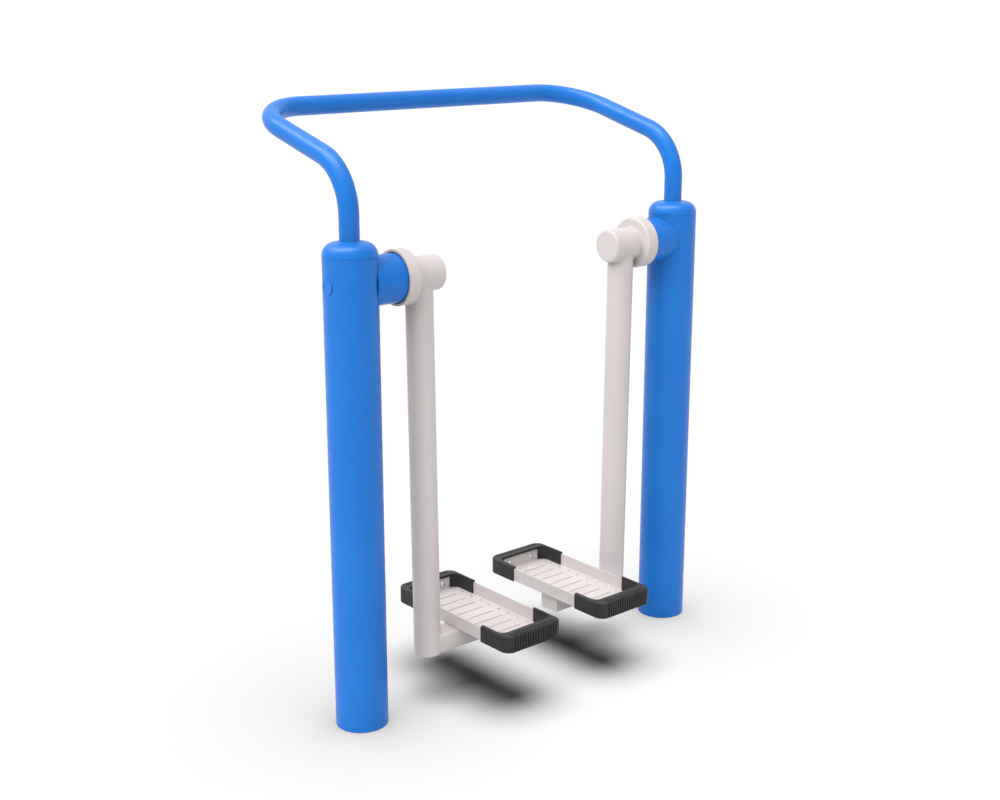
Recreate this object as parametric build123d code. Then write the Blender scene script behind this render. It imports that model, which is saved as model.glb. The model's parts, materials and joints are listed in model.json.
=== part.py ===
from build123d import *
import os
from math import cos, radians, sin

# Outdoor air walker, millimetres, +Z up.
# Origin: on the ground, midway between the two post axes.
# +X runs from the user's left post to the right one, +Y is the way the user faces.
# Every piece is drawn on the left side and mirrored; "reach" is the distance from the left
# post's axis towards the middle of the walker, measured along +X.

# Clearances
seat_gap = 0.1          # radial gap of a pressed or slipped-in round seat
weld_gap = 0.2          # gap at a shaped joint between two welded tubes
race_gap = 0.3          # gap between a ball and its race
pocket_gap = 0.25       # gap between a ball and its cage pocket
thread_gap = 0.3        # radial gap of a screw in a clearance hole

# Posts
post_spacing = 940.0
post_d = 114.0
post_wall = 4.0
axis_height = 968.0     # pivot axis above the ground
housing_to_seam = 5.5   # from the top of the housing up to the post cap's seam

# Post caps
cap_rim = 2.0
cap_edge_r = 26.0
cap_crown = 3.0         # rise of the top from its rounded edge to the rail
cap_wall = 3.0
cap_spigot = 18.0
seam_chamfer = 0.8      # on both edges of the seam between post and cap

# Handrail
rail_d = 42.0
rail_wall = 3.0
rail_depth = 10.0       # how far the rail ends run below the cap's seam
rail_riser = 141.0      # from the cap's top to the corner of the lower bend
rail_rise = 98.5        # climb of the side run from the lower bend to the front bar
rail_reach = 359.0      # front bar ahead of the posts
rail_knee_r = 118.0
rail_corner_r = 125.0

# Ball bearings
bearing_bore = 40.0
bearing_od = 80.0
bearing_width = 18.0
ball_d = 12.0
ball_count = 9
land_share = 1 / 3      # how far each ring's land stands off the ball circle, in ball diameters
cage_wall = 4.0
cage_rim = 1.5

# Bearing housing and what it holds
housing_wall = 12.0
housing_shoulder = 5.0  # length of the shoulder between the post and the first bearing
joint_cut = 33.5        # joint's edge cut square this far from the post's axis, so it opens at the sides
joint_depth = 6.0       # depth of that cut
shoulder_lip = 5.0      # how far the shoulder stands in from the bearing seat
spacer_length = 18.0
spacer_wall = 4.0
circlip_thick = 2.5
circlip_groove = 1.75
circlip_width = 5.0
circlip_slit = 10.0
housing_lip = 3.5       # housing beyond the circlip

# Swing limit
swing_limit = 60.0      # degrees each way
lug_half = 6.0          # degrees each side of the lug's middle
stop_gap = 0.5          # degrees left between lug and buffer at the limit
buffer_angle = 9.0
stop_depth = 8.0
stop_wall = 1.75        # metal between the circlip groove and the stop slot
lug_gap = 0.6

# Access plug
plug_d = 32.0
plug_overlap = 2.0      # plug's rim beyond the hole in the post
plug_proud = 1.5
plug_spigot = 8.0
plug_round = 1.0

# Axle
land_inset = 1.0        # axle collar and washer inside the inner ring's land
axle_space = 13.5       # from the axle's end to the hub cap's spigot
axle_bolt_d = 12.0
axle_bolt_flats = 18.0
axle_bolt_head = 7.5
axle_bolt_grip = 27.0
axle_bolt_relief = 5.0
axle_washer_thick = 5.0

# Dust collar
collar_gap = 2.0        # open ring between the housing and the collar
collar_wall = 5.0
collar_length = 30.5
collar_web = 6.0
collar_round = 5.0
web_gap = 10.5          # from the housing's end to the collar's web

# Hub
hub_d = 76.0
hub_wall = 8.0
hub_length = 80.5
hub_cap_thick = 6.5
hub_cap_spigot = 12.0
hub_cap_round = 5.5

# Swing arm
arm_d = 60.0
arm_wall = 3.0
arm_offset = -6.5       # top of the arm's axis from the middle of the hub
arm_lean = 10.0         # how much nearer the middle of the walker the arm's foot stands than its top
foot_drop = 0.5         # arm foot below the crossbar
foot_cap_thick = 3.0
foot_cap_spigot = 12.0
foot_cap_round = 2.0

# Pedal crossbar
bar_width = 55.0
bar_height = 43.5
bar_wall = 3.0
bar_corner = 5.0
bar_inner_corner = 2.0
bar_plate = 3.0
bar_inset = 18.0        # end plate inside the tray's inner wall

# Pedal tray
pedal_reach = 149.25    # tray middle from the middle of the hub
tray_base = 152.0       # underside of the tray above the ground
tray_width = 158.0
tray_length = 354.0
tray_height = 31.5
tray_wall = 2.5
tray_floor = 3.0
tray_corner = 22.0
tray_bend = 3.0         # pressed round of the tray's bottom edge
rib_count = 9
rib_inset = 36.0        # rib ends inside the tray's sides
rib_margin = 45.0       # first and last rib inside the tray's ends
rib_width = 5.0
rib_height = 2.0
drain_d = 6.0
drain_inset = 16.0      # drain rows inside the tray's walls

# Bumpers
bumper_skin = 2.5       # rubber outside the tray's side walls
bumper_inner = 2.5      # rubber inside the tray's side walls
bumper_end = 23.5       # rubber ahead of the tray's end wall
bumper_leg = 92.5       # bumper length along the walker
bumper_lip = 6.0        # rubber above the tray's walls
bumper_drop = 0.5       # rubber below the tray's floor
bumper_corner = 23.0
bumper_round = 5.0
bumper_gap = 0.2
groove_count = 17
groove_span = 126.0     # width of the grooved end face
groove_width = 3.4
groove_depth = 2.4
groove_wrap = 18.0      # how far the grooves run back over the top

# Bumper screws
screw_d = 6.0
screw_head_d = 13.0
screw_head = 4.5
screw_spacing = 70.0
screw_height = 15.0     # above the tray's underside
insert_d = 12.0
insert_length = 13.0
insert_floor = 3.0      # blind end of the insert

# Radii and heights that follow
post_r = post_d / 2
post_inner_r = post_r - post_wall
post_x = -post_spacing / 2
seat_r = bearing_od / 2
housing_r = seat_r + housing_wall
seam_height = axis_height + housing_r + housing_to_seam
cap_edge_top = seam_height + cap_rim + cap_edge_r
cap_top = cap_edge_top + cap_crown
rail_r = rail_d / 2
knee_height = cap_top + rail_riser
rail_height = knee_height + rail_rise
bore_r = bearing_bore / 2
ball_r = ball_d / 2
pitch_r = (seat_r + bore_r) / 2
inner_land_r = pitch_r - ball_d * land_share
outer_land_r = pitch_r + ball_d * land_share
axle_collar_r = inner_land_r - land_inset
collar_bore_r = housing_r + collar_gap
collar_r = collar_bore_r + collar_wall
plug_hole_r = plug_d / 2 - plug_overlap
hub_r = hub_d / 2
hub_bore_r = hub_r - hub_wall
arm_r = arm_d / 2
arm_bore_r = arm_r - arm_wall
tray_top = tray_base + tray_height
floor_top = tray_base + tray_floor
bar_base = tray_base - bar_height
foot_base = bar_base - foot_drop
tube_base = foot_base + foot_cap_thick

# Places along the pivot axis, as reach
bearings_start = post_r + housing_shoulder
spacer_start = bearings_start + bearing_width
spacer_end = spacer_start + spacer_length
bearing_starts = (bearings_start, spacer_end)
bearings_end = spacer_end + bearing_width
circlip_end = bearings_end + circlip_thick
housing_end = circlip_end + housing_lip
web_start = housing_end + web_gap
collar_face = web_start + collar_web
collar_mouth = collar_face - collar_length
hub_end = collar_face + hub_length
axle_end = hub_end - hub_cap_thick - hub_cap_spigot - axle_space
hub_middle = collar_face + hub_length / 2
arm_top_reach = hub_middle + arm_offset
arm_foot_reach = arm_top_reach + arm_lean
tray_reach = hub_middle + pedal_reach
bar_end = tray_reach + tray_width / 2 - bar_inset

# The stop slot in the housing's end
stop_floor_r = seat_r + circlip_groove + stop_wall
stop_floor = housing_end - stop_depth
buffer_start = swing_limit + lug_half + stop_gap
slot_half = buffer_start + buffer_angle
lug_angle = 90.0        # the lug points straight up at rest


def bar_x(radius, start, end):
    # Round bar on the pivot axis between two reaches
    middle = Pos(post_x + (start + end) / 2, 0, axis_height)
    return middle * Rot(0, 90, 0) * Cylinder(radius, end - start)


def ring_x(outer, inner, start, end):
    return bar_x(outer, start, end) - bar_x(inner, start, end)


def post_bar(radius, bottom, top):
    # Upright round bar on the post's axis
    bar = Cylinder(radius, top - bottom, align=(Align.CENTER, Align.CENTER, Align.MIN))
    return Pos(post_x, 0, bottom) * bar


def arm_bar(radius, bottom, top):
    # Round bar on the arm's leaning axis between two heights, its ends square to that axis
    slope = Vector(-arm_lean / (axis_height - foot_base), 0, 1)
    foot = Vector(post_x + arm_foot_reach, 0, foot_base)
    plane = Plane(origin=foot + slope * (bottom - foot_base), z_dir=slope)
    return extrude(plane * Circle(radius), (top - bottom) * slope.length)


def sector_x(inner, outer, start_angle, end_angle, start, end):
    # Part of a ring on the pivot axis, angles from +Y towards +Z
    turn = end_angle - start_angle
    corners = []
    for angle in (start_angle, end_angle):
        direction = Vector(cos(radians(angle)), sin(radians(angle)))
        corners.append(Line(direction * inner, direction * outer))
    arcs = [CenterArc((0, 0), radius, start_angle, turn) for radius in (inner, outer)]
    plane = Plane(origin=(post_x + start, 0, axis_height), x_dir=(0, 1, 0), z_dir=(1, 0, 0))
    return extrude(plane * make_face(corners + arcs), end - start)


def tray_block(width, length, corner, bottom, top):
    # Upright block with a rounded plan, centred on the tray
    plan = RectangleRounded(width, length, corner)
    return Pos(post_x + tray_reach, 0, bottom) * extrude(plan, top - bottom)


def make_post():
    post = post_bar(post_r, 0, seam_height)
    post = chamfer(post.edges().sort_by(Axis.Z)[-1], seam_chamfer)
    post -= post_bar(post_inner_r, 0, seam_height)
    post -= bar_x(seat_r - shoulder_lip, 0, post_d)
    return post - bar_x(plug_hole_r, -post_d, 0)


def make_post_cap():
    # Half section of the dome, with the spigot that drops into the post
    spigot_r = post_inner_r - seat_gap
    inner_r = spigot_r - cap_wall
    hole_r = rail_r + seat_gap
    edge_r = post_r - cap_edge_r
    rim_top = seam_height + cap_rim
    inner_arc = inner_r - edge_r
    section = [
        Polyline((edge_r, rim_top + inner_arc), (hole_r, rim_top + inner_arc), (hole_r, cap_top),
                 (edge_r, cap_edge_top)),
        CenterArc((edge_r, rim_top), cap_edge_r, 0, 90),
        Polyline((post_r, rim_top), (post_r, seam_height + seam_chamfer),
                 (post_r - seam_chamfer, seam_height), (spigot_r, seam_height),
                 (spigot_r, seam_height - cap_spigot), (inner_r, seam_height - cap_spigot),
                 (inner_r, rim_top)),
        CenterArc((edge_r, rim_top), inner_arc, 0, 90),
    ]
    return Pos(post_x, 0, 0) * revolve(Plane.XZ * make_face(section), Axis.Z)


def make_handrail():
    foot = seam_height - rail_depth
    path = FilletPolyline(
        (post_x, 0, foot), (post_x, 0, knee_height), (post_x, rail_reach, rail_height),
        (-post_x, rail_reach, rail_height), (-post_x, 0, knee_height), (-post_x, 0, foot),
        radius=[rail_knee_r, rail_corner_r, rail_corner_r, rail_knee_r])
    start = Plane(origin=path @ 0, z_dir=path % 0)
    return sweep(start * (Circle(rail_r) - Circle(rail_r - rail_wall)), path=path)


def make_bearing_housing():
    housing = bar_x(housing_r, 0, housing_end) - post_bar(post_r + weld_gap, 0, seam_height)
    housing -= ring_x(housing_r, housing_r - joint_depth, 0, joint_cut)
    housing -= bar_x(seat_r - shoulder_lip, 0, bearings_start)
    housing -= bar_x(seat_r + seat_gap, bearings_start, housing_end)
    housing -= bar_x(seat_r + circlip_groove, bearings_end, circlip_end)
    return housing - sector_x(stop_floor_r, collar_bore_r, lug_angle - slot_half,
                              lug_angle + slot_half, stop_floor, housing_end)


def make_limit_buffers():
    buffers = []
    for low, high in ((-slot_half, -buffer_start), (buffer_start, slot_half)):
        buffers.append(sector_x(stop_floor_r + seat_gap, housing_r - seat_gap,
                                lug_angle + low, lug_angle + high, stop_floor, housing_end))
    return buffers


def make_access_plug():
    face = -post_r - plug_proud
    head = bar_x(plug_d / 2, face, 0)
    head = fillet(head.edges().sort_by(Axis.X)[0], plug_round)
    head -= post_bar(post_r + weld_gap, 0, seam_height)
    return head + bar_x(plug_hole_r - seat_gap, face + plug_proud / 2, plug_spigot - post_r)


def race(start):
    # Ball groove of the bearing that starts at this reach
    middle = Pos(post_x + start + bearing_width / 2, 0, axis_height)
    return middle * Rot(0, 90, 0) * Torus(pitch_r, ball_r + race_gap)


def bearing_rings(outer, inner):
    return [ring_x(outer, inner, start, start + bearing_width) - race(start) for start in bearing_starts]


def ball_places(start):
    # Places on the ball circle, each with its Z pointing away from the pivot axis
    middle = Pos(post_x + start + bearing_width / 2, 0, axis_height)
    for number in range(ball_count):
        yield middle * Rot(360 * number / ball_count, 0, 0) * Pos(0, 0, pitch_r)


def make_balls():
    return [place * Sphere(ball_r) for start in bearing_starts for place in ball_places(start)]


def make_cages():
    cages = []
    half = ball_r + pocket_gap + cage_rim
    for start in bearing_starts:
        middle = start + bearing_width / 2
        cage = ring_x(pitch_r + cage_wall / 2, pitch_r - cage_wall / 2, middle - half, middle + half)
        for place in ball_places(start):
            cage -= place * Cylinder(ball_r + pocket_gap, ball_d)
        cages.append(cage)
    return cages


def make_outer_spacer():
    return ring_x(seat_r, seat_r - spacer_wall, spacer_start, spacer_end)


def make_inner_spacer():
    return ring_x(bore_r + spacer_wall, bore_r, spacer_start, spacer_end)


def make_circlip():
    outer_r = seat_r + circlip_groove - seat_gap
    clip = ring_x(outer_r, outer_r - circlip_width, bearings_end, circlip_end)
    slit = Box(2 * circlip_thick, circlip_slit, bearing_od, align=(Align.CENTER, Align.CENTER, Align.MAX))
    return clip - Pos(post_x + bearings_end, 0, axis_height) * slit


def make_axle_shaft():
    shaft = bar_x(bore_r - seat_gap, bearings_start, bearings_end)
    shaft += bar_x(axle_collar_r, bearings_end, collar_face)
    shaft += bar_x(hub_bore_r - seat_gap, collar_face, axle_end)
    hole_end = bearings_start + axle_bolt_grip + axle_bolt_relief
    return shaft - bar_x(axle_bolt_d / 2 + seat_gap, bearings_start, hole_end)


def make_axle_washer():
    start = bearings_start - axle_washer_thick
    return ring_x(axle_collar_r, axle_bolt_d / 2 + thread_gap, start, bearings_start)


def make_axle_bolt():
    head_end = bearings_start - axle_washer_thick
    plane = Plane(origin=(post_x + head_end - axle_bolt_head, 0, axis_height), z_dir=(1, 0, 0))
    head = extrude(plane * RegularPolygon(axle_bolt_flats / 2, 6, major_radius=False), axle_bolt_head)
    return head + bar_x(axle_bolt_d / 2, head_end, bearings_start + axle_bolt_grip)


def make_dust_collar():
    collar = bar_x(collar_r, collar_mouth, collar_face)
    collar = fillet(collar.edges().sort_by(Axis.X)[-1], collar_round)
    collar -= bar_x(collar_bore_r, collar_mouth, web_start)
    collar -= bar_x(axle_collar_r + seat_gap, web_start, collar_face)
    lug = sector_x(stop_floor_r + lug_gap, housing_r - lug_gap, lug_angle - lug_half,
                   lug_angle + lug_half, stop_floor + lug_gap, web_start + collar_web / 2)
    return collar + lug


def make_hub_sleeve():
    return ring_x(hub_r, hub_bore_r, collar_face, hub_end - hub_cap_thick)


def make_hub_cap():
    flange_start = hub_end - hub_cap_thick
    cap = bar_x(hub_r, flange_start, hub_end)
    cap = fillet(cap.edges().sort_by(Axis.X)[-1], hub_cap_round)
    return cap + bar_x(hub_bore_r - seat_gap, flange_start - hub_cap_spigot, flange_start)


def make_swing_arm():
    arm = arm_bar(arm_r, tube_base, axis_height) - arm_bar(arm_bore_r, tube_base, axis_height)
    return arm - bar_x(hub_r + weld_gap, collar_face - arm_d, hub_end + arm_d)


def make_arm_foot_cap():
    cap = arm_bar(arm_r, foot_base, tube_base)
    cap = fillet(cap.edges().sort_by(Axis.Z)[0], foot_cap_round)
    return cap + arm_bar(arm_bore_r - seat_gap, tube_base, tube_base + foot_cap_spigot)


def bar_block(start, end, inset, corner):
    # Length of the crossbar's outline between two reaches, its section shrunk all round by inset
    middle = (post_x + start, 0, bar_base + bar_height / 2)
    plane = Plane(origin=middle, x_dir=(0, 1, 0), z_dir=(1, 0, 0))
    section = RectangleRounded(bar_width - 2 * inset, bar_height - 2 * inset, corner)
    return extrude(plane * section, end - start)


def make_pedal_crossbar():
    tube_end = bar_end - bar_plate
    tube = bar_block(arm_foot_reach, tube_end, 0, bar_corner)
    tube -= bar_block(arm_foot_reach, tube_end, bar_wall, bar_inner_corner)
    return tube - arm_bar(arm_r + weld_gap, foot_base, tray_top)


def make_crossbar_end_plate():
    return bar_block(bar_end - bar_plate, bar_end, 0, bar_corner)


def screw_places():
    # Each end's two screw axes, on the inner face of the tray's end wall and pointing outwards
    for end in (-1, 1):
        for side in (-1, 1):
            place = (post_x + tray_reach + side * screw_spacing / 2, end * (tray_length / 2 - tray_wall),
                     tray_base + screw_height)
            yield end, Plane(origin=place, x_dir=(1, 0, 0), z_dir=(0, end, 0))


def screw_bar(plane, radius, start, end):
    # Round bar on a screw's axis, measured outwards from the inner face of the end wall
    return extrude(plane.offset(start) * Circle(radius), end - start)


def make_pedal_tray():
    tray = tray_block(tray_width, tray_length, tray_corner, tray_base, tray_top)
    tray = fillet(tray.edges().group_by(Axis.Z)[0], tray_bend)
    tray -= tray_block(tray_width - 2 * tray_wall, tray_length - 2 * tray_wall,
                       tray_corner - tray_wall, floor_top, tray_top)
    middle = Pos(post_x + tray_reach, 0, floor_top)
    rib = extrude(SlotOverall(tray_width - 2 * rib_inset, rib_width), rib_height)
    rib_pitch = (tray_length - 2 * rib_margin) / (rib_count - 1)
    drain = Cylinder(drain_d / 2, tray_height)
    drain_x = tray_width / 2 - drain_inset
    for number in range(rib_count):
        rib_y = (number - (rib_count - 1) / 2) * rib_pitch
        tray += middle * Pos(0, rib_y, 0) * rib
        for side in (-1, 1):
            tray -= middle * Pos(side * drain_x, rib_y, 0) * drain
    for end, plane in screw_places():
        tray -= screw_bar(plane, screw_d / 2 + thread_gap, 0, tray_wall)
    return tray


def bumper_grooves(outer_end, bottom, top):
    # Upright grooves in the end face that run over its rounded top edge
    floor_y = outer_end - groove_depth
    floor_z = top - groove_depth
    wrap_y = outer_end - groove_wrap
    beyond = groove_depth
    floor_r = bumper_round - groove_depth
    section = [
        CenterArc((floor_y - floor_r, floor_z - floor_r), floor_r, 0, 90),
        Polyline((floor_y - floor_r, floor_z), (wrap_y, floor_z), (wrap_y, top + beyond),
                 (outer_end + beyond, top + beyond), (outer_end + beyond, bottom - beyond),
                 (floor_y, bottom - beyond), (floor_y, floor_z - floor_r)),
    ]
    groove = extrude(Plane.YZ * make_face(section), groove_width)
    pitch = groove_span / groove_count
    first = post_x + tray_reach - pitch * (groove_count - 1) / 2 - groove_width / 2
    return [Pos(first + number * pitch, 0, 0) * groove for number in range(groove_count)]


def make_front_bumper():
    width = tray_width + 2 * bumper_skin
    length = tray_length + 2 * bumper_end
    bottom = tray_base - bumper_drop
    top = tray_top + bumper_lip
    outer_end = length / 2
    bumper = tray_block(width, length, bumper_corner, bottom, top)
    bumper = fillet(bumper.edges().group_by(Axis.Z)[-1], bumper_round)
    leg_end = outer_end - bumper_leg
    bumper &= Pos(post_x + tray_reach, leg_end, bottom) * Box(
        width, bumper_leg, top - bottom, align=(Align.CENTER, Align.MIN, Align.MIN))

    # Room for the tray: its floor, its walls and the open inside
    wide = tray_width + 2 * bumper_gap
    long = tray_length + 2 * bumper_gap
    wall = tray_wall + 2 * bumper_gap
    lining = wall + bumper_inner
    bumper -= tray_block(wide, long, tray_corner + bumper_gap, bottom, floor_top + bumper_gap)
    slot = tray_block(wide, long, tray_corner + bumper_gap, floor_top, tray_top + bumper_gap)
    slot -= tray_block(wide - 2 * wall, long - 2 * wall, tray_corner + bumper_gap - wall,
                       floor_top, tray_top + bumper_gap)
    bumper -= slot
    bumper -= tray_block(wide - 2 * lining, long - 2 * lining, tray_corner + bumper_gap - lining,
                         bottom, top)

    # The lining leaves the middle of the end wall bare
    window = Box(wide - 2 * tray_corner, 2 * lining, tray_height - tray_floor + bumper_gap,
                 align=(Align.CENTER, Align.MAX, Align.MIN))
    bumper -= Pos(post_x + tray_reach, long / 2, floor_top) * window
    bumper -= bumper_grooves(outer_end, bottom, top)
    for end, plane in screw_places():
        if end > 0:
            socket_end = tray_wall + insert_length + bumper_gap
            bumper -= screw_bar(plane, insert_d / 2 + seat_gap, tray_wall, socket_end)
    return bumper


def make_bumper_screws():
    # Domed heads, part of a ball as wide as the head at its seat
    screws = []
    head_r = screw_head_d / 2
    dome_r = (head_r ** 2 + screw_head ** 2) / (2 * screw_head)
    tip = tray_wall + insert_length - insert_floor
    for end, plane in screw_places():
        dome = plane.offset(dome_r - screw_head) * Sphere(dome_r)
        head = screw_bar(plane, head_r, -screw_head, 0) & dome
        screws.append(head + screw_bar(plane, screw_d / 2, 0, tip))
    return screws


def make_bumper_inserts():
    inserts = []
    for end, plane in screw_places():
        bush = screw_bar(plane, insert_d / 2, tray_wall + bumper_gap, tray_wall + insert_length)
        hole = screw_bar(plane, screw_d / 2 + seat_gap, tray_wall, tray_wall + insert_length - insert_floor)
        inserts.append(bush - hole)
    return inserts


def save(name, shape):
    # A group of separate solids is written as one compound
    if isinstance(shape, list):
        shape = Compound(children=shape)
    export_step(shape, f"parts/{name}.step")


def main():
    os.makedirs("parts", exist_ok=True)
    save("handrail", make_handrail())
    front_bumper = make_front_bumper()
    side_pieces = {
        "post": make_post(),
        "post_cap": make_post_cap(),
        "bearing_housing": make_bearing_housing(),
        "access_plug": make_access_plug(),
        "bearing_outer_rings": bearing_rings(seat_r, outer_land_r),
        "outer_spacer": make_outer_spacer(),
        "circlip": make_circlip(),
        "limit_buffers": make_limit_buffers(),
        "bearing_balls": make_balls(),
        "bearing_cages": make_cages(),
        "axle_shaft": make_axle_shaft(),
        "bearing_inner_rings": bearing_rings(inner_land_r, bore_r),
        "inner_spacer": make_inner_spacer(),
        "axle_washer": make_axle_washer(),
        "axle_bolt": make_axle_bolt(),
        "dust_collar": make_dust_collar(),
        "hub_sleeve": make_hub_sleeve(),
        "hub_cap": make_hub_cap(),
        "swing_arm": make_swing_arm(),
        "arm_foot_cap": make_arm_foot_cap(),
        "pedal_crossbar": make_pedal_crossbar(),
        "crossbar_end_plate": make_crossbar_end_plate(),
        "pedal_tray": make_pedal_tray(),
        "front_bumper": front_bumper,
        "rear_bumper": mirror(front_bumper, about=Plane.XZ),
        "bumper_screws": make_bumper_screws(),
        "bumper_inserts": make_bumper_inserts(),
    }
    for name, piece in side_pieces.items():
        solids = piece if isinstance(piece, list) else [piece]
        mirrored = [mirror(solid, about=Plane.YZ) for solid in solids]
        save(f"left_{name}", piece)
        save(f"right_{name}", mirrored if isinstance(piece, list) else mirrored[0])


main()
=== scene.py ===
import json
from math import atan2, cos, pi, radians, sin, sqrt

import bmesh
import bpy
from mathutils import Matrix, Vector

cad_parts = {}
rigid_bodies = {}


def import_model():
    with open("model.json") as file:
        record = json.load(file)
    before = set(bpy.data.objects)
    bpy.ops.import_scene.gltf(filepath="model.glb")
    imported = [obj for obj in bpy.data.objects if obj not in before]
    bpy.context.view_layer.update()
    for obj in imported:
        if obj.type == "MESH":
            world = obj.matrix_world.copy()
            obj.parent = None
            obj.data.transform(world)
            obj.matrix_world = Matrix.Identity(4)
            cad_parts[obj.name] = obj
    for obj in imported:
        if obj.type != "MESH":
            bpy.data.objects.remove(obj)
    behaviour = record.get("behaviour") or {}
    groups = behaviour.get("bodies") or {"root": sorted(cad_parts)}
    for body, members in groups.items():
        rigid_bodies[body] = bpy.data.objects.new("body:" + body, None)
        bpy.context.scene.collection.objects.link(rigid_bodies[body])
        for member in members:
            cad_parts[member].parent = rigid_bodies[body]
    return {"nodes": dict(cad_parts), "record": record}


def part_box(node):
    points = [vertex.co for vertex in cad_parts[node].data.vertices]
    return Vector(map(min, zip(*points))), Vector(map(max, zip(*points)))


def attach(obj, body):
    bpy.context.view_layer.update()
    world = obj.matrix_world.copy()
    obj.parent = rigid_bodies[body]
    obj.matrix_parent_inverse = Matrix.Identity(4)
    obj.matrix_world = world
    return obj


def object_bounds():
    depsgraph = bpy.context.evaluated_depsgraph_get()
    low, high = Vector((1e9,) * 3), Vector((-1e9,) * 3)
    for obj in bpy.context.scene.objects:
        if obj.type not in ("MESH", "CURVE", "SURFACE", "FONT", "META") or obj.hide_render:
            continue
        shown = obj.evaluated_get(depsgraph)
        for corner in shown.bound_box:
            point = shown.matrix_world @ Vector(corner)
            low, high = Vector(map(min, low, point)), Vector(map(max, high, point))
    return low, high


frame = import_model()
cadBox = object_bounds()
scene = bpy.context.scene
scene.view_settings.view_transform = "Standard"

midTones = (0.3, 0.7)  # where most of a noise's values lie


def addNode(tree, kind, inputs=None, **settings):
    node = tree.nodes.new(kind)
    for key, value in settings.items():
        setattr(node, key, value)
    for key, value in (inputs or {}).items():
        if isinstance(value, bpy.types.NodeSocket):
            tree.links.new(value, node.inputs[key])
        else:
            node.inputs[key].default_value = value
    return node


def noise(tree, coords, scale, detail=3.0, rough=0.55):
    return addNode(tree, "ShaderNodeTexNoise",
                   {"Vector": coords, "Scale": scale, "Detail": detail, "Roughness": rough}).outputs["Fac"]


def remap(tree, value, low, high, toLow=0.0, toHigh=1.0):
    return addNode(tree, "ShaderNodeMapRange",
                   {"Value": value, "From Min": low, "From Max": high, "To Min": toLow, "To Max": toHigh},
                   interpolation_type="SMOOTHSTEP").outputs["Result"]


def times(tree, first, second):
    return addNode(tree, "ShaderNodeMath", {0: first, 1: second}, operation="MULTIPLY").outputs[0]


def mixColour(tree, factor, first, second):
    return addNode(tree, "ShaderNodeMix", {0: factor, 6: first, 7: second}, data_type="RGBA").outputs[2]


def rgba(colour):
    return (*colour, 1.0)


def stain(tree, colour, mask, amount, over):
    return mixColour(tree, times(tree, mask, amount), colour, rgba(over))


def startGroup(name, inputs, outputs):
    group = bpy.data.node_groups.new(name, "ShaderNodeTree")
    for label, value in inputs.items():
        socket = group.interface.new_socket(label, in_out="INPUT", socket_type="NodeSocketFloat")
        socket.default_value = value
    for label, kind in outputs.items():
        group.interface.new_socket(label, in_out="OUTPUT", socket_type=kind)
    return group, group.nodes.new("NodeGroupInput"), group.nodes.new("NodeGroupOutput")


def endGroup(group, exitNode, results):
    for label, socket in results.items():
        group.links.new(socket, exitNode.inputs[label])
    return group


peelLook = {"peel": 700.0, "mottle": 4.0, "glossPatches": 55.0}


def makeCoatPeel():  # the faint orange peel and mottling of a baked coat
    group, entry, exitNode = startGroup("coatPeel", {"Peel": peelLook["peel"], "Mottle": peelLook["mottle"]},
                                        {"Height": "NodeSocketFloat", "Tone": "NodeSocketFloat",
                                         "Gloss": "NodeSocketFloat"})
    coords = group.nodes.new("ShaderNodeTexCoord").outputs["Object"]
    height = noise(group, coords, entry.outputs["Peel"], detail=2.0)
    mottle = noise(group, coords, entry.outputs["Mottle"], detail=5.0, rough=0.6)
    gloss = noise(group, coords, peelLook["glossPatches"], detail=4.0)
    tone = remap(group, mottle, *midTones)
    return endGroup(group, exitNode, {"Height": height, "Tone": tone, "Gloss": gloss})


wearLook = {"radius": 0.0008, "samples": 6, "patches": 90.0, "turn": (0.99, 0.85), "patchy": (0.42, 0.62)}


def makeEdgeWear():  # rubbed edges, and edges that are a little round to the light
    group, entry, exitNode = startGroup("edgeWear",
                                        {"Radius": wearLook["radius"], "Patches": wearLook["patches"]},
                                        {"Mask": "NodeSocketFloat", "Normal": "NodeSocketVector"})
    coords = group.nodes.new("ShaderNodeTexCoord").outputs["Object"]
    bevel = addNode(group, "ShaderNodeBevel", {"Radius": entry.outputs["Radius"]}, samples=wearLook["samples"])
    rounded = bevel.outputs["Normal"]
    flat = group.nodes.new("ShaderNodeNewGeometry").outputs["Normal"]
    facing = addNode(group, "ShaderNodeVectorMath", {0: rounded, 1: flat}, operation="DOT_PRODUCT")
    edge = remap(group, facing.outputs["Value"], *wearLook["turn"])
    patches = remap(group, noise(group, coords, entry.outputs["Patches"], detail=4.0), *wearLook["patchy"])
    return endGroup(group, exitNode, {"Mask": times(group, edge, patches), "Normal": rounded})


dustLook = {"patches": 22.0, "upward": (0.45, 1.0), "patchy": (0.35, 0.7)}


def makeSettledDust():  # dust that lies on what faces up, thicker in patches
    group, entry, exitNode = startGroup("settledDust", {"Patches": dustLook["patches"]},
                                        {"Mask": "NodeSocketFloat"})
    source = group.nodes.new("ShaderNodeTexCoord")
    up = addNode(group, "ShaderNodeSeparateXYZ", {0: source.outputs["Normal"]}).outputs["Z"]
    patches = noise(group, source.outputs["Object"], entry.outputs["Patches"], detail=6.0, rough=0.65)
    mask = times(group, remap(group, up, *dustLook["upward"]), remap(group, patches, *dustLook["patchy"]))
    return endGroup(group, exitNode, {"Mask": mask})


scuffLook = {"across": 420.0, "along": 16.0, "streaky": (0.6, 0.74), "patches": 14.0, "patchy": (0.45, 0.65)}


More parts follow.
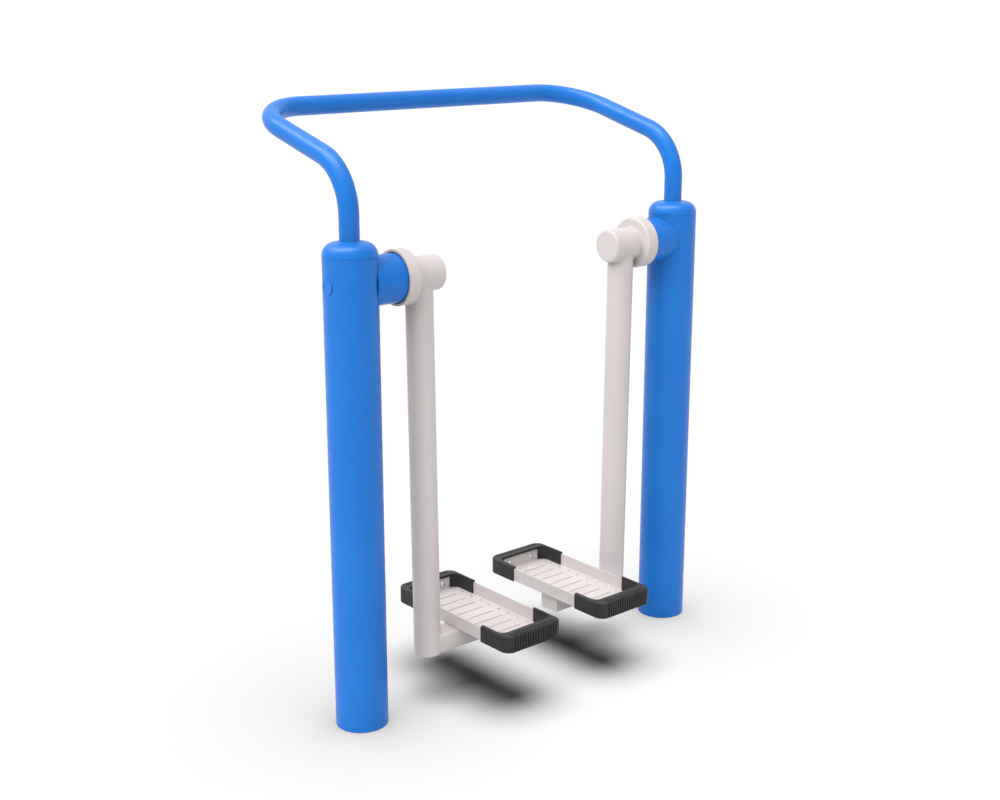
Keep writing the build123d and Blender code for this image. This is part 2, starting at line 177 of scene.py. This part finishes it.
def makeScuffs():  # thin rubbed streaks along the walking direction
    group, entry, exitNode = startGroup("scuffs",
                                        {"Across": scuffLook["across"], "Along": scuffLook["along"]},
                                        {"Mask": "NodeSocketFloat"})
    coords = group.nodes.new("ShaderNodeTexCoord").outputs["Object"]
    across, along = entry.outputs["Across"], entry.outputs["Along"]
    stretch = addNode(group, "ShaderNodeCombineXYZ", {0: across, 1: along, 2: along}).outputs[0]
    drawn = addNode(group, "ShaderNodeVectorMath", {0: coords, 1: stretch}, operation="MULTIPLY").outputs[0]
    streaks = remap(group, noise(group, drawn, 1.0), *scuffLook["streaky"])
    patches = remap(group, noise(group, coords, scuffLook["patches"]), *scuffLook["patchy"])
    return endGroup(group, exitNode, {"Mask": times(group, streaks, patches)})


coatPeel = makeCoatPeel()
edgeWear = makeEdgeWear()
settledDust = makeSettledDust()
scuffs = makeScuffs()
print("shared effects:", coatPeel.name, edgeWear.name, settledDust.name, scuffs.name)


def place(tree, group, **values):
    node = addNode(tree, "ShaderNodeGroup", node_tree=group)
    for key, value in values.items():
        node.inputs[key].default_value = value
    return node


def startMaterial(name):
    material = bpy.data.materials.new(name)
    material.use_nodes = True
    return material, material.node_tree, material.node_tree.nodes["Principled BSDF"]


def connect(tree, shader, **sockets):
    for key, socket in sockets.items():
        tree.links.new(socket, shader.inputs[key.replace("_", " ")])


def bump(tree, height, look, edges):
    return addNode(tree, "ShaderNodeBump",
                   {"Height": height, "Strength": look["bump"], "Distance": look["depth"],
                    "Normal": edges.outputs["Normal"]}).outputs["Normal"]


# bounce is the colour that bounce rays see, darker than the coat: painted shade on the light it throws onto
# its neighbours and the floor
blueCoat = {"name": "blueCoat", "colour": (0.014, 0.220, 0.780), "deep": (0.012, 0.197, 0.725),
            "worn": (0.10, 0.33, 0.86), "wear": 0.35, "dust": 0.03, "scuff": 0.0,
            "gloss": (0.30, 0.42), "specular": 0.28, "peel": 700.0, "bump": 0.25, "depth": 0.00025,
            "bounce": (0.08, 0.09, 0.11)}
greyCoat = {"name": "greyCoat", "colour": (0.792, 0.728, 0.723), "deep": (0.757, 0.694, 0.690),
            "worn": (0.86, 0.82, 0.81), "wear": 0.40, "dust": 0.06, "scuff": 0.10,
            "gloss": (0.34, 0.46), "specular": 0.30, "peel": 800.0, "bump": 0.25, "depth": 0.00025,
            "bounce": (0.60, 0.56, 0.555)}
coatStains = {"dust": (0.50, 0.45, 0.38), "scuff": (0.30, 0.28, 0.27)}
undersideBounceShade = {"bounce": (0.05, 0.05, 0.05), "facing": (-0.7, -0.2)}  # painted shade: what faces down throws back almost no light, which darkens the floor beneath it


def makePowderCoat(look):
    material, tree, shader = startMaterial(look["name"])
    peel = place(tree, coatPeel, Peel=look["peel"])
    edges = place(tree, edgeWear)
    dust = place(tree, settledDust)
    colour = mixColour(tree, peel.outputs["Tone"], rgba(look["colour"]), rgba(look["deep"]))
    if look["scuff"]:
        rubbed = place(tree, scuffs)
        colour = stain(tree, colour, rubbed.outputs["Mask"], look["scuff"], coatStains["scuff"])
    colour = stain(tree, colour, dust.outputs["Mask"], look["dust"], coatStains["dust"])
    colour = stain(tree, colour, edges.outputs["Mask"], look["wear"], look["worn"])
    facing = tree.nodes.new("ShaderNodeNewGeometry").outputs["Normal"]
    up = addNode(tree, "ShaderNodeSeparateXYZ", {0: facing}).outputs["Z"]
    level = remap(tree, up, *undersideBounceShade["facing"])
    shadedBounce = mixColour(tree, level, rgba(undersideBounceShade["bounce"]), rgba(look["bounce"]))
    bounced = tree.nodes.new("ShaderNodeLightPath").outputs["Is Diffuse Ray"]
    colour = mixColour(tree, bounced, colour, shadedBounce)  # painted shade: bounce rays see the darker colour, which keeps its colour off its neighbours and darkens the floor under what faces down
    gloss = remap(tree, peel.outputs["Gloss"], *midTones, *look["gloss"])
    normal = bump(tree, peel.outputs["Height"], look, edges)
    connect(tree, shader, Base_Color=colour, Roughness=gloss, Normal=normal)
    shader.inputs["Specular IOR Level"].default_value = look["specular"]
    return material


bumperRubber = {"name": "bumperRubber", "colour": (0.030, 0.030, 0.0305), "deep": (0.022, 0.022, 0.0225),
                "worn": (0.085, 0.083, 0.080), "wear": 0.5, "dust": 0.05,
                "gloss": (0.52, 0.70), "specular": 0.35, "grain": 1500.0, "bump": 0.35, "depth": 0.0004}
bufferRubber = {"name": "bufferRubber", "colour": (0.026, 0.026, 0.026), "deep": (0.018, 0.018, 0.018),
                "worn": (0.06, 0.06, 0.06), "wear": 0.2, "dust": 0.0,
                "gloss": (0.60, 0.80), "specular": 0.35, "grain": 1500.0, "bump": 0.35, "depth": 0.0004}
rubberDust = {"colour": (0.30, 0.28, 0.25), "patches": 40.0}


def makeRubber(look):
    material, tree, shader = startMaterial(look["name"])
    grain = place(tree, coatPeel, Peel=look["grain"], Mottle=9.0)
    edges = place(tree, edgeWear, Radius=0.0012, Patches=60.0)
    dust = place(tree, settledDust, Patches=rubberDust["patches"])
    colour = mixColour(tree, grain.outputs["Tone"], rgba(look["colour"]), rgba(look["deep"]))
    colour = stain(tree, colour, edges.outputs["Mask"], look["wear"], look["worn"])
    colour = stain(tree, colour, dust.outputs["Mask"], look["dust"], rubberDust["colour"])
    gloss = remap(tree, grain.outputs["Gloss"], *midTones, *look["gloss"])
    normal = bump(tree, grain.outputs["Height"], look, edges)
    connect(tree, shader, Base_Color=colour, Roughness=gloss, Normal=normal)
    shader.inputs["Specular IOR Level"].default_value = look["specular"]
    return material


bluePlastic = {"name": "bluePlastic", "colour": (0.014, 0.222, 0.790), "deep": (0.012, 0.200, 0.740),
               "gloss": (0.34, 0.46), "specular": 0.30, "grain": 2200.0, "bump": 0.3, "depth": 0.0002}
cagePlastic = {"name": "cagePlastic", "colour": (0.60, 0.55, 0.42), "deep": (0.52, 0.47, 0.35),
               "gloss": (0.45, 0.60), "specular": 0.40, "grain": 1800.0, "bump": 0.3, "depth": 0.0003}


def makePlastic(look):
    material, tree, shader = startMaterial(look["name"])
    grain = place(tree, coatPeel, Peel=look["grain"], Mottle=12.0)
    edges = place(tree, edgeWear, Radius=0.0006)
    colour = mixColour(tree, grain.outputs["Tone"], rgba(look["colour"]), rgba(look["deep"]))
    gloss = remap(tree, grain.outputs["Gloss"], *midTones, *look["gloss"])
    normal = bump(tree, grain.outputs["Height"], look, edges)
    connect(tree, shader, Base_Color=colour, Roughness=gloss, Normal=normal)
    shader.inputs["Specular IOR Level"].default_value = look["specular"]
    return material


brightSteel = {"name": "brightSteel", "colour": (0.78, 0.78, 0.78), "deep": (0.66, 0.66, 0.67),
               "gloss": (0.14, 0.26), "lines": (160.0, 160.0, 160.0), "bump": 0.2, "depth": 0.00005}
zincSteel = {"name": "zincSteel", "colour": (0.58, 0.59, 0.61), "deep": (0.46, 0.47, 0.48),
             "gloss": (0.30, 0.48), "lines": (220.0, 220.0, 220.0), "bump": 0.2, "depth": 0.0001}
turnedSteel = {"name": "turnedSteel", "colour": (0.50, 0.50, 0.51), "deep": (0.40, 0.40, 0.41),
               "gloss": (0.22, 0.36), "lines": (2600.0, 12.0, 12.0), "bump": 0.2, "depth": 0.0002}
springSteel = {"name": "springSteel", "colour": (0.13, 0.13, 0.14), "deep": (0.09, 0.09, 0.10),
               "gloss": (0.35, 0.50), "lines": (300.0, 300.0, 300.0), "bump": 0.2, "depth": 0.0001}
bearingSteel = {"name": "bearingSteel", "colour": (0.66, 0.67, 0.69), "deep": (0.58, 0.59, 0.61),
                "gloss": (0.10, 0.20), "lines": (1800.0, 20.0, 20.0), "bump": 0.2, "depth": 0.00005}
steelSmears = {"scale": 90.0}


def makeMetal(look):
    material, tree, shader = startMaterial(look["name"])
    coords = tree.nodes.new("ShaderNodeTexCoord").outputs["Object"]
    drawn = addNode(tree, "ShaderNodeMapping", {"Vector": coords, "Scale": look["lines"]}).outputs["Vector"]
    lines = noise(tree, drawn, 1.0, detail=4.0)
    edges = place(tree, edgeWear, Radius=0.0004)
    colour = mixColour(tree, remap(tree, lines, *midTones), rgba(look["colour"]), rgba(look["deep"]))
    gloss = remap(tree, noise(tree, coords, steelSmears["scale"]), *midTones, *look["gloss"])
    connect(tree, shader, Base_Color=colour, Roughness=gloss, Normal=bump(tree, lines, look, edges))
    shader.inputs["Metallic"].default_value = 1.0
    return material


finishes = {
    "blue_coat": makePowderCoat(blueCoat), "grey_coat": makePowderCoat(greyCoat),
    "bumper_rubber": makeRubber(bumperRubber), "buffer_rubber": makeRubber(bufferRubber),
    "blue_plastic": makePlastic(bluePlastic), "cage_plastic": makePlastic(cagePlastic),
    "bright_steel": makeMetal(brightSteel), "zinc_steel": makeMetal(zincSteel),
    "turned_steel": makeMetal(turnedSteel), "spring_steel": makeMetal(springSteel),
    "bearing_steel": makeMetal(bearingSteel),
}
for part in frame["record"]["subparts"]:
    for slot in frame["nodes"][part["node"]].material_slots:
        slot.material = finishes[part["material_slot"]]


def finishPiece(shape, name, body, slot):
    mesh = bpy.data.meshes.new(name)
    bmesh.ops.recalc_face_normals(shape, faces=shape.faces)
    for face in shape.faces:
        face.smooth = True
    shape.to_mesh(mesh)
    shape.free()
    mesh.materials.append(finishes[slot])
    piece = bpy.data.objects.new(name, mesh)
    scene.collection.objects.link(piece)
    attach(piece, body)


hubWeld = {"radius": 0.0018, "ripple": 0.10, "ripples": 64}
armWeld = {"radius": 0.0016, "ripple": 0.10, "ripples": 56}
footWeld = {"radius": 0.0018, "ripple": 0.10, "ripples": 60, "squareness": 9.0}
beadMesh = {"round": 8, "perRipple": 4}


def beadRing(look, centre, axis, radius):  # a weld bead all round an axis, rippled along its length
    shape = bmesh.new()
    outward = axis.orthogonal().normalized()
    across = outward.cross(axis)
    turn = Matrix((outward, axis, across)).transposed().to_4x4()
    bmesh.ops.create_circle(shape, segments=beadMesh["round"], radius=look["radius"],
                            matrix=Matrix.Translation(centre + outward * radius) @ turn)
    bmesh.ops.spin(shape, geom=shape.edges[:] + shape.verts[:], cent=centre, axis=axis, angle=2 * pi,
                   steps=beadMesh["perRipple"] * look["ripples"], use_merge=True)
    for vert in shape.verts:
        spoke = vert.co - centre
        spoke -= axis * spoke.dot(axis)
        angle = atan2(spoke.dot(across), spoke.dot(outward))
        middle = centre + spoke.normalized() * radius
        vert.co = middle.lerp(vert.co, 1 + look["ripple"] * sin(look["ripples"] * angle))
    return shape


def weldWalker(side, inward):  # beads at collar to hub, hub to arm, and arm to crossbar
    body = f"{side}_walker"
    hubLow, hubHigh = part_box(f"{side}_hub_sleeve")
    armLow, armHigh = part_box(f"{side}_swing_arm")
    barLow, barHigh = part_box(f"{side}_pedal_crossbar")
    hub = (hubLow + hubHigh) / 2
    bar = (barLow + barHigh) / 2
    hubR = (hubHigh.z - hubLow.z) / 2
    armR = (armHigh.y - armLow.y) / 2

    start = hub - Vector((inward * (hubHigh.x - hubLow.x) / 2, 0, 0))
    bead = beadRing(hubWeld, start, Vector((inward, 0, 0)), hubR)
    finishPiece(bead, f"{side}_hub_weld", body, "grey_coat")

    topX = armLow.x + armR if inward > 0 else armHigh.x - armR  # the arm leans in towards its foot
    bead = beadRing(armWeld, Vector((topX, 0, hub.z)), Vector((0, 0, 1)), armR)
    for vert in bead.verts:
        vert.co.z -= sqrt(max(hubR ** 2 - vert.co.y ** 2, 0))  # follows the hub's underside
    finishPiece(bead, f"{side}_arm_weld", body, "grey_coat")

    footX = armHigh.x - armR if inward > 0 else armLow.x + armR
    half = (barHigh - barLow) / 2
    power = footWeld["squareness"]
    bead = beadRing(footWeld, Vector((0, 0, 0)), Vector((1, 0, 0)), half.y)
    for vert in bead.verts:
        y, z = vert.co.y, vert.co.z
        angle = atan2(z, y)
        reach = (abs(cos(angle) / half.y) ** power + abs(sin(angle) / half.z) ** power) ** (-1 / power)
        grow = reach - half.y  # follows the crossbar's outline
        y, z = y + grow * cos(angle), z + grow * sin(angle)
        saddle = footX + inward * sqrt(max(armR ** 2 - y ** 2, 0))  # and the arm's round
        vert.co = (saddle + vert.co.x, y, bar.z + z)
    finishPiece(bead, f"{side}_foot_weld", body, "grey_coat")


weldWalker("left", 1)
weldWalker("right", -1)
print("weld beads made")

studio = {"floorHalf": 40.0, "floorDrop": 0.0003, "floorColour": (0.985, 0.985, 0.985),
          "floorTint": (0.975, 0.975, 0.975), "tintPatches": 1.5, "floorBounce": (0.80, 0.80, 0.80),
          "floorRough": 0.9, "backdrop": (1, 1, 1), "ambient": 0.002}
lampSets = {  # each lamp has its direction and its level
    "floor": {"spread": 56.0, "lights": "floor", "seenIn": "diffuse",
              "lamps": {"floorLamp": ((0, 0, 1), 3.28)}},
    "sky": {"spread": 60.0, "lights": "walker", "seenIn": "diffuse",
            "lamps": {"leftSky": ((-1, 0, 1.15), 2.50), "rightSky": ((1, 0, 1.15), 0.62),
                      "nearSky": ((0, -1, 1.15), 1.12), "farSky": ((0, 1, 1.15), 0.95)}},
    "gloss": {"spread": 26.0, "lights": "walker", "seenIn": "glossy",
              "lamps": {"railGlint": ((-0.38, 0.55, 0.76), 1.20), "leftGlint": ((-0.45, 0.22, 1), 0.95),
                        "midGlint": ((-0.22, 0.05, 1), 0.95), "rightGlint": ((0.01, -0.11, 1), 0.95)}},
}


def seenDirectly(tree):  # 1 for what the camera sees, also in metal or through glass
    path = tree.nodes.new("ShaderNodeLightPath").outputs
    seen = addNode(tree, "ShaderNodeMath", {0: path["Is Camera Ray"], 1: path["Is Glossy Ray"]},
                   operation="MAXIMUM").outputs[0]
    return addNode(tree, "ShaderNodeMath", {0: seen, 1: path["Is Transmission Ray"]},
                   operation="MAXIMUM").outputs[0]


def makeFloor():
    shape = bmesh.new()
    bmesh.ops.create_grid(shape, x_segments=1, y_segments=1, size=studio["floorHalf"])
    bmesh.ops.translate(shape, verts=shape.verts, vec=(0, 0, cadBox[0].z - studio["floorDrop"]))
    mesh = bpy.data.meshes.new("floor")
    shape.to_mesh(mesh)
    shape.free()
    material, tree, shader = startMaterial("paleFloor")
    coords = tree.nodes.new("ShaderNodeTexCoord").outputs["Object"]
    patches = noise(tree, coords, studio["tintPatches"])
    colour = mixColour(tree, patches, rgba(studio["floorColour"]), rgba(studio["floorTint"]))
    colour = mixColour(tree, seenDirectly(tree), rgba(studio["floorBounce"]), colour)  # pale where it is seen
    connect(tree, shader, Base_Color=colour)
    shader.inputs["Roughness"].default_value = studio["floorRough"]
    shader.inputs["Specular IOR Level"].default_value = 0.0
    mesh.materials.append(material)
    floor = bpy.data.objects.new("floor", mesh)
    scene.collection.objects.link(floor)


def makeLight():  # a soft sky on four sides, the floor's own lamp above it, and lamps for the gloss alone
    lit = {name: bpy.data.collections.new(f"{name}Pieces") for name in ("walker", "floor")}
    for piece in scene.objects:
        if piece.type == "MESH":
            lit["floor" if piece.name == "floor" else "walker"].objects.link(piece)
    for lampSet in lampSets.values():
        for name, (towards, level) in lampSet["lamps"].items():
            lamp = bpy.data.lights.new(name, "SUN")
            lamp.energy = level
            lamp.angle = radians(lampSet["spread"])
            holder = bpy.data.objects.new(name, lamp)
            holder.rotation_euler = Vector(towards).to_track_quat("Z", "Y").to_euler()
            holder.light_linking.receiver_collection = lit[lampSet["lights"]]
            holder.light_linking.blocker_collection = lit["walker"]
            holder.visible_diffuse = lampSet["seenIn"] == "diffuse"
            holder.visible_glossy = lampSet["seenIn"] == "glossy"
            scene.collection.objects.link(holder)

    world = bpy.data.worlds.new("studio")  # white where it is seen, hardly any light elsewhere
    world.use_nodes = True
    scene.world = world
    tree = world.node_tree
    strength = remap(tree, seenDirectly(tree), 0.0, 1.0, studio["ambient"], 1.0)
    tree.links.new(strength, tree.nodes["Background"].inputs["Strength"])
    tree.nodes["Background"].inputs["Color"].default_value = rgba(studio["backdrop"])


view = {"lens": 53.307, "sensor": 36.0, "azimuth": -40.5377, "elevation": 15.2654,
        "place": (-2.150979, -2.428224, 1.528289), "farthest": 200.0}


def makeCamera():
    azimuth, elevation = radians(view["azimuth"]), radians(view["elevation"])
    back = Vector((sin(azimuth) * cos(elevation), -cos(azimuth) * cos(elevation), sin(elevation)))
    right = Vector((cos(azimuth), sin(azimuth), 0))
    turn = Matrix((right, back.cross(right), back)).transposed()
    data = bpy.data.cameras.new("photoView")
    data.lens = view["lens"]
    data.sensor_width = view["sensor"]
    data.sensor_fit = "HORIZONTAL"
    data.clip_end = view["farthest"]
    camera = bpy.data.objects.new("photoView", data)
    camera.matrix_world = Matrix.Translation(view["place"]) @ turn.to_4x4()
    scene.collection.objects.link(camera)
    scene.camera = camera


makeFloor()
makeLight()
makeCamera()
print("floor, light and camera set")
